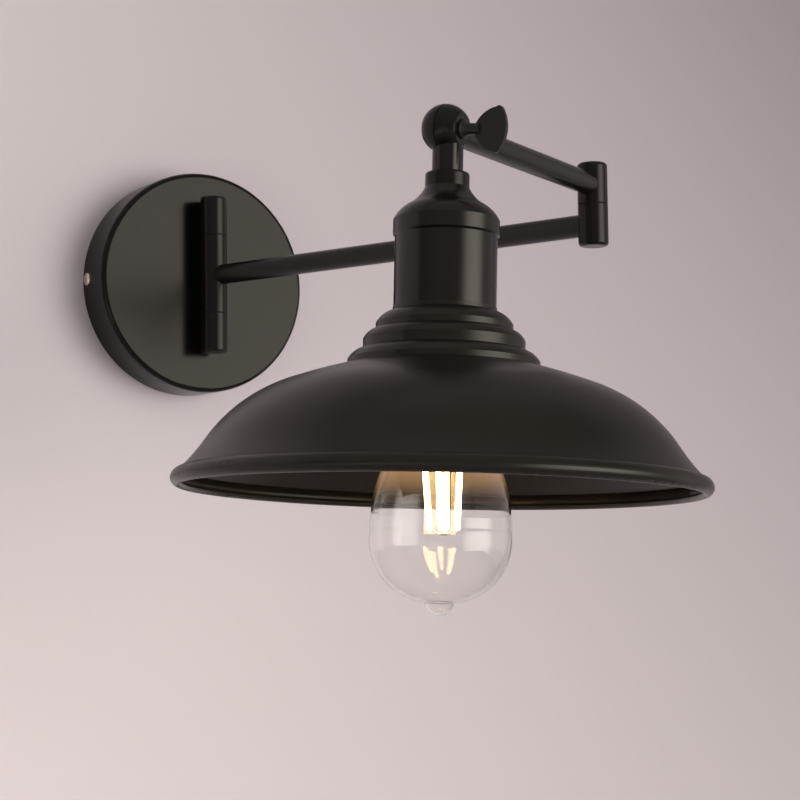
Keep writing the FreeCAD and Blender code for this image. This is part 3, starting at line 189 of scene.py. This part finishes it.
# Where the room ends, the camera sees a plain pale backdrop in place of the patches.
seen = add_node(parts, "MixShader")
wires.new(add_node(parts, "LightPath").outputs["Is Camera Ray"], seen.inputs[0])
wires.new(daylight.outputs[0], seen.inputs[1])
wires.new(add_node(parts, "Background", {"Color": BACKDROP}).outputs[0], seen.inputs[2])
wires.new(seen.outputs[0], parts["World Output"].inputs["Surface"])

# Wall strip: bent zinc-plated steel, screwed to the wall.  It holds the terminal
# block, moulded in white plastic, and the turned brass earth screw.
TONE_SPREAD, PATCHINESS, GLOSS_SPREAD = 0.25, 35, 0.06
GRAIN_DEPTH = 0.02 * MM
finish = bpy.data.node_groups.new("finish", "ShaderNodeTree")
for way, name, kind in (
        ("INPUT", "Colour", "Color"), ("INPUT", "Gloss loss", "Float"),
        ("INPUT", "Grain", "Float"), ("INPUT", "Grain scale", "Float"),
        ("OUTPUT", "Colour", "Color"), ("OUTPUT", "Roughness", "Float"), ("OUTPUT", "Normal", "Vector")):
    finish.interface.new_socket(name=name, in_out=way, socket_type="NodeSocket" + kind)
parts, wires = finish.nodes, finish.links
given, made = parts.new("NodeGroupInput"), parts.new("NodeGroupOutput")
place = add_node(parts, "TexCoord")

# An uneven coat: its tone and its gloss drift slowly over the surface.
drift = add_node(parts, "TexNoise", {"Scale": PATCHINESS, "Detail": 4})
wires.new(place.outputs["Object"], drift.inputs["Vector"])
depth = add_node(parts, "MapRange", {"To Min": 1 - TONE_SPREAD, "To Max": 1 + TONE_SPREAD})
wires.new(drift.outputs["Fac"], depth.inputs["Value"])
tint = add_node(parts, "VectorMath", operation="SCALE")
wires.new(given.outputs["Colour"], tint.inputs[0])
wires.new(depth.outputs[0], tint.inputs["Scale"])
wires.new(tint.outputs[0], made.inputs["Colour"])
dulling = add_node(parts, "Math", {1: GLOSS_SPREAD}, operation="MULTIPLY_ADD")
wires.new(drift.outputs["Fac"], dulling.inputs[0])
wires.new(given.outputs["Gloss loss"], dulling.inputs[2])
wires.new(dulling.outputs[0], made.inputs["Roughness"])

# A fine grain, as spray and plating leave it.
speck = add_node(parts, "TexNoise", {"Detail": 2})
wires.new(place.outputs["Object"], speck.inputs["Vector"])
wires.new(given.outputs["Grain scale"], speck.inputs["Scale"])
grain_bump = add_node(parts, "Bump", {"Distance": GRAIN_DEPTH})
wires.new(speck.outputs["Fac"], grain_bump.inputs["Height"])
wires.new(given.outputs["Grain"], grain_bump.inputs["Strength"])
wires.new(grain_bump.outputs[0], made.inputs["Normal"])


def finished(name, colour, roughness, grain, grain_scale=2400, shine=0.3):
    """Paint or plastic with the uneven coat and grain above; shine is its mirror strength."""
    material, parts, wires = new_material(name)
    skin = parts["Principled BSDF"]
    skin.inputs["Specular IOR Level"].default_value = shine
    skin.inputs["Specular Tint"].default_value = (1, 0.96, 0.88, 1)
    surface = add_node(parts, "Group", node_tree=finish)
    surface.inputs["Colour"].default_value = (*colour, 1)
    surface.inputs["Gloss loss"].default_value = roughness
    surface.inputs["Grain"].default_value = grain
    surface.inputs["Grain scale"].default_value = grain_scale
    for result, socket in (("Colour", "Base Color"), ("Roughness", "Roughness"), ("Normal", "Normal")):
        wires.new(surface.outputs[result], skin.inputs[socket])
    return material


def bare_metal(name, colour, roughness, grain, grain_scale=2400):
    metal = finished(name, colour, roughness, grain, grain_scale)
    skin = metal.node_tree.nodes["Principled BSDF"]
    skin.inputs["Metallic"].default_value = 1
    skin.inputs["Specular Tint"].default_value = (1, 1, 1, 1)
    return metal


def coat(material, *names):
    for name in names:
        nodes[name].data.materials.clear()
        nodes[name].data.materials.append(material)


zinc = bare_metal("zinc", (0.58, 0.58, 0.56), 0.3, grain=0.4, grain_scale=900)
brass = bare_metal("brass", (0.74, 0.53, 0.26), 0.25, grain=0.2)
terminal_white = finished("terminal_white", (0.72, 0.71, 0.66), 0.45, grain=0.3)
coat(zinc, "wall_bracket")
coat(terminal_white, "terminal_block")
coat(brass, "earth_screw")

# Canopy: a dish spun from sheet steel and sprayed satin black.  Two nickel-plated
# screws go through its side into the strip's ears.
coat(finished("canopy_paint", (0.004, 0.004, 0.0035), 0.17, grain=0.35, shine=0.16), "canopy")
coat(bare_metal("nickel", (0.62, 0.56, 0.48), 0.22, grain=0.2), "canopy_side_screws")

# Base hinge: two turned knuckles with the sleeve of the first arm between them, on
# a hollow pin with fibre washers.  Nuts hold the knuckles' posts in the canopy.
barrel_paint = finished("barrel_paint", (0.005, 0.005, 0.0045), 0.2, grain=0.25, shine=0.2)
fibre = finished("fibre", (0.012, 0.010, 0.009), 0.7, grain=0.6, grain_scale=1500)
coat(barrel_paint, "base_knuckle_upper", "base_knuckle_lower", "base_sleeve")
coat(fibre, "base_hinge_washers")
coat(zinc, "base_hinge_pin", "post_washers", "post_nuts")

# Arms and elbow: two drawn steel tubes, welded to turned barrels that turn on a
# hollow pin with a fibre washer between them, all sprayed satin black.
coat(finished("arm_paint", (0.004, 0.004, 0.0035), 0.22, grain=0.3), "arm_1_tube", "arm_2_tube")
coat(barrel_paint, "elbow_lower_barrel", "elbow_upper_barrel")
coat(zinc, "elbow_pin")
coat(fibre, "elbow_washer")

# Tilt joint: a turned ball in two halves, clamped by a cast butterfly screw.  The
# stem below it is the glossiest black on the lamp.
coat(barrel_paint, "rear_half_ball", "front_half_ball")
coat(fibre, "seam_washer")
coat(finished("wing_paint", (0.012, 0.012, 0.011), 0.34, grain=0.5), "wing_screw")
coat(finished("stem_paint", (0.004, 0.004, 0.004), 0.12, grain=0.15), "stem")

# Socket cup: turned steel under a painted collar, held by a threaded tube and its
# nut.  The black lampholder in it has a brass shell and contact.
coat(barrel_paint, "stem_collar")
coat(zinc, "threaded_nipple", "nipple_locknut")
coat(finished("cup_paint", (0.004, 0.004, 0.0035), 0.21, grain=0.3), "socket_cup")
coat(finished("bakelite", (0.014, 0.012, 0.011), 0.35, grain=0.3), "lampholder_body", "shade_ring")
coat(brass, "lampholder_shell", "lampholder_contact")

# Shade: a bowl spun from sheet steel with a rolled rim, sprayed satin black with a
# brownish depth.  The ring above screws it to the lampholder.
coat(finished("shade_paint", (0.007, 0.006, 0.0045), 0.28, grain=0.3), "shade")

# Bulb: clear blown glass on a glass stem, in a brass cap with a white insulator.
# Towards its neck the glass and its stem carry a painted warm glow that stands in for the glare round the
# lit filaments.
BULB_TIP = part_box("bulb_glass")[0][2]


def glass_with_painted_glow(name, glow, dark_until, full_from):
    """Clear glass with a painted warm glow that sets in at one height over the bulb's tip and is full at
    another.
    """
    material, parts, wires = new_material(name)
    glass = parts["Principled BSDF"]
    for socket, value in (("Base Color", (1, 1, 1, 1)), ("Transmission Weight", 1), ("Roughness", 0),
                          ("IOR", 1.35), ("Emission Strength", 1)):
        glass.inputs[socket].default_value = value
    # Painted glow: the glass emits warm light, dark near the tip and full higher up.
    height = add_node(parts, "SeparateXYZ")
    wires.new(add_node(parts, "TexCoord").outputs["Object"], height.inputs[0])
    painted_glow_onset = add_node(parts, "MapRange", {
        "From Min": BULB_TIP + dark_until, "From Max": BULB_TIP + full_from,
    }, interpolation_type="SMOOTHERSTEP")
    wires.new(height.outputs["Z"], painted_glow_onset.inputs["Value"])
    painted_glow_colour = add_node(parts, "Mix", {"A": (0, 0, 0, 1), "B": (*glow, 1)}, data_type="RGBA")
    wires.new(painted_glow_onset.outputs[0], painted_glow_colour.inputs["Factor"])
    wires.new(painted_glow_colour.outputs["Result"], glass.inputs["Emission Color"])
    lets_light_out = add_node(parts, "MixShader")
    wires.new(add_node(parts, "LightPath").outputs["Is Shadow Ray"], lets_light_out.inputs[0])
    wires.new(glass.outputs[0], lets_light_out.inputs[1])
    wires.new(add_node(parts, "BsdfTransparent").outputs[0], lets_light_out.inputs[2])
    wires.new(lets_light_out.outputs[0], parts["Material Output"].inputs["Surface"])
    return material


# Painted glow on both glasses, stronger on the stem.
coat(glass_with_painted_glow("clear_glass", (0.085, 0.046, 0.018), 48 * MM, 69 * MM), "bulb_glass")
coat(glass_with_painted_glow("stem_glass_painted_glow", (0.5, 0.27, 0.1), 30 * MM, 70 * MM), "bulb_stem")
coat(brass, "bulb_cap")
coat(terminal_white, "bulb_insulator")
coat(zinc, "bulb_contact")

# Filaments: four sticks in yellow silicone that glow from end to end.  They lean in
# towards a small disc and hang on bent steel wires round a thin post.
STICK_RADIUS, TOP_SPREAD, FOOT_SPREAD = 1.35 * MM, 8.5 * MM, 6.3 * MM
WIRE_RADIUS, WIRE_GRIP, BEND_RISE, BEND_SPREAD = 0.35 * MM, 1 * MM, 2.2 * MM, 7.65 * MM
POST_RADIUS, DISC_RADIUS, DISC_THICK = 0.6 * MM, 2.9 * MM, 1.8 * MM
STICK_LOW, STICK_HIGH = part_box("filaments")
CAGE_LOW, CAGE_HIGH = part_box("filament_supports")
BULB_X, BULB_Y = (STICK_LOW[0] + STICK_HIGH[0]) / 2, (STICK_LOW[1] + STICK_HIGH[1]) / 2

lit, parts, wires = new_material("lit_filament")
silicone = parts["Principled BSDF"]
silicone.inputs["Roughness"].default_value = 0.5
silicone.inputs["Emission Strength"].default_value = 45
lumps = add_node(parts, "TexNoise", {"Scale": 900})
wires.new(add_node(parts, "TexCoord").outputs["Object"], lumps.inputs["Vector"])
for socket, dim, bright in (("Base Color", (0.75, 0.45, 0.1, 1), (0.95, 0.65, 0.22, 1)),
                            ("Emission Color", (0.9, 0.52, 0.2, 1), (1, 0.72, 0.36, 1))):
    uneven = add_node(parts, "Mix", {"A": dim, "B": bright}, data_type="RGBA")
    wires.new(lumps.outputs["Fac"], uneven.inputs["Factor"])
    wires.new(uneven.outputs["Result"], silicone.inputs[socket])


def add_rod(mesh, start, end, radius, sides, nose=0.6):
    """Round rod between two points, whose ends are rounded over nose times its radius."""
    axis = (end - start).normalized()
    sideways = axis.orthogonal().normalized()
    across = axis.cross(sideways).normalized()
    end_rings = ((0, 0.35), (nose * 0.3, 0.75), (nose, 1))
    rings = []
    for centre, along, width in (
            [(start, inset, width) for inset, width in end_rings]
            + [(end, -inset, width) for inset, width in reversed(end_rings)]):
        turns = [2 * pi * k / sides for k in range(sides)]
        rings.append([mesh.verts.new(
            centre + axis * radius * along + (sideways * cos(turn) + across * sin(turn)) * radius * width)
            for turn in turns])
    for low, high in zip(rings, rings[1:]):
        for k in range(sides):
            following = (k + 1) % sides
            mesh.faces.new((low[k], low[following], high[following], high[k]))
    mesh.faces.new(list(reversed(rings[0])))
    mesh.faces.new(rings[-1])


def hang_in_bulb(name, mesh, material, replaced):
    shape = bpy.data.meshes.new(name)
    bmesh.ops.recalc_face_normals(mesh, faces=mesh.faces)
    mesh.to_mesh(shape)
    mesh.free()
    shape.shade_smooth()
    shape.materials.append(material)
    piece = bpy.data.objects.new(name, shape)
    scene.collection.objects.link(piece)
    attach(piece, "head")
    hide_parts(replaced)


def in_bulb(height, outward=Vector((0, 0, 0)), reach=0.0):
    """Point at a height on the bulb's axis, or so far out from it in one direction."""
    return Vector((BULB_X, BULB_Y, height)) + outward * reach


sticks, cage = bmesh.new(), bmesh.new()
grip = Vector((0, 0, WIRE_GRIP))
for quarter in range(4):
    turn = pi / 4 + quarter * pi / 2
    outward = Vector((cos(turn), sin(turn), 0))
    top = in_bulb(STICK_HIGH[2], outward, TOP_SPREAD)
    foot = in_bulb(STICK_LOW[2], outward, FOOT_SPREAD)
    bend = in_bulb(STICK_HIGH[2] + BEND_RISE, outward, BEND_SPREAD)
    add_rod(sticks, foot, top, STICK_RADIUS, 16)
    add_rod(cage, top - grip, bend, WIRE_RADIUS, 10)
    add_rod(cage, bend, in_bulb(CAGE_HIGH[2] - POST_RADIUS, outward, 1.5 * MM), WIRE_RADIUS, 10)
    add_rod(cage, foot + grip, in_bulb(CAGE_LOW[2] + DISC_THICK / 2, outward, 2 * MM), WIRE_RADIUS, 10)
add_rod(cage, in_bulb(CAGE_LOW[2] + 0.5 * MM), in_bulb(CAGE_HIGH[2]), POST_RADIUS, 12)
add_rod(cage, in_bulb(CAGE_LOW[2]), in_bulb(CAGE_LOW[2] + DISC_THICK), DISC_RADIUS, 28, nose=0.3)
hang_in_bulb("filament_sticks", sticks, lit, "filaments")
hang_in_bulb("filament_cage", cage, zinc, "filament_supports")

scene.view_settings.view_transform = "Standard"
